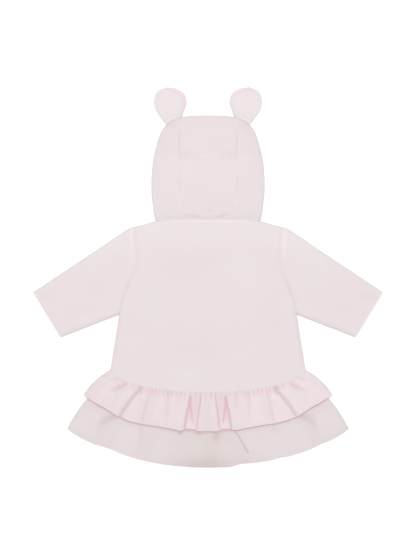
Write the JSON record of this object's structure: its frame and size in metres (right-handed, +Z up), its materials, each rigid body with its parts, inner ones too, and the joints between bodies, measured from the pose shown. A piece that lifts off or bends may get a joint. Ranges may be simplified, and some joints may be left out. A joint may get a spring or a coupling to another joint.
{
  "type": "hooded rain jacket",
  "caption": "Baby's hooded rain jacket laid flat on its front, with round ears on the hood, long sleeves and a gathered two-tier hem, for keeping a small child dry.",
  "frame": {"origin": "on the surface that the jacket lies on, below the middle of its outline", "axes": "+Z up from the surface, towards the back of the jacket; +Y towards the hood; -X towards the wearer's left sleeve"},
  "size_m": [0.5594, 0.6085, 0.0206],
  "materials": {
    "shell_cloth": "smooth coated pale pink cloth",
    "hood_cloth": "smooth coated pale pink cloth",
    "ear_cloth": "smooth coated pale pink cloth",
    "tier_cloth": "smooth coated pale pink cloth",
    "stud": "satin"
  },
  "bodies": {
    "root": {"back": "shell_cloth", "front_left": "shell_cloth", "front_right": "shell_cloth", "placket": "shell_cloth", "press_stud_1": "stud", "press_stud_2": "stud", "press_stud_3": "stud", "press_stud_4": "stud", "sleeve_left": "shell_cloth", "sleeve_right": "shell_cloth", "hood_back_strip": "hood_cloth", "hood_top_strip": "hood_cloth", "hood_side_left": "hood_cloth", "hood_side_right": "hood_cloth", "ear_left_back": "ear_cloth", "ear_left_front": "ear_cloth", "ear_right_back": "ear_cloth", "ear_right_front": "ear_cloth", "upper_tier_back": "tier_cloth", "upper_tier_front_left": "tier_cloth", "upper_tier_front_right": "tier_cloth", "lower_tier_back": "tier_cloth", "lower_tier_front_left": "tier_cloth", "lower_tier_front_right": "tier_cloth"}
  },
  "joints": []
}
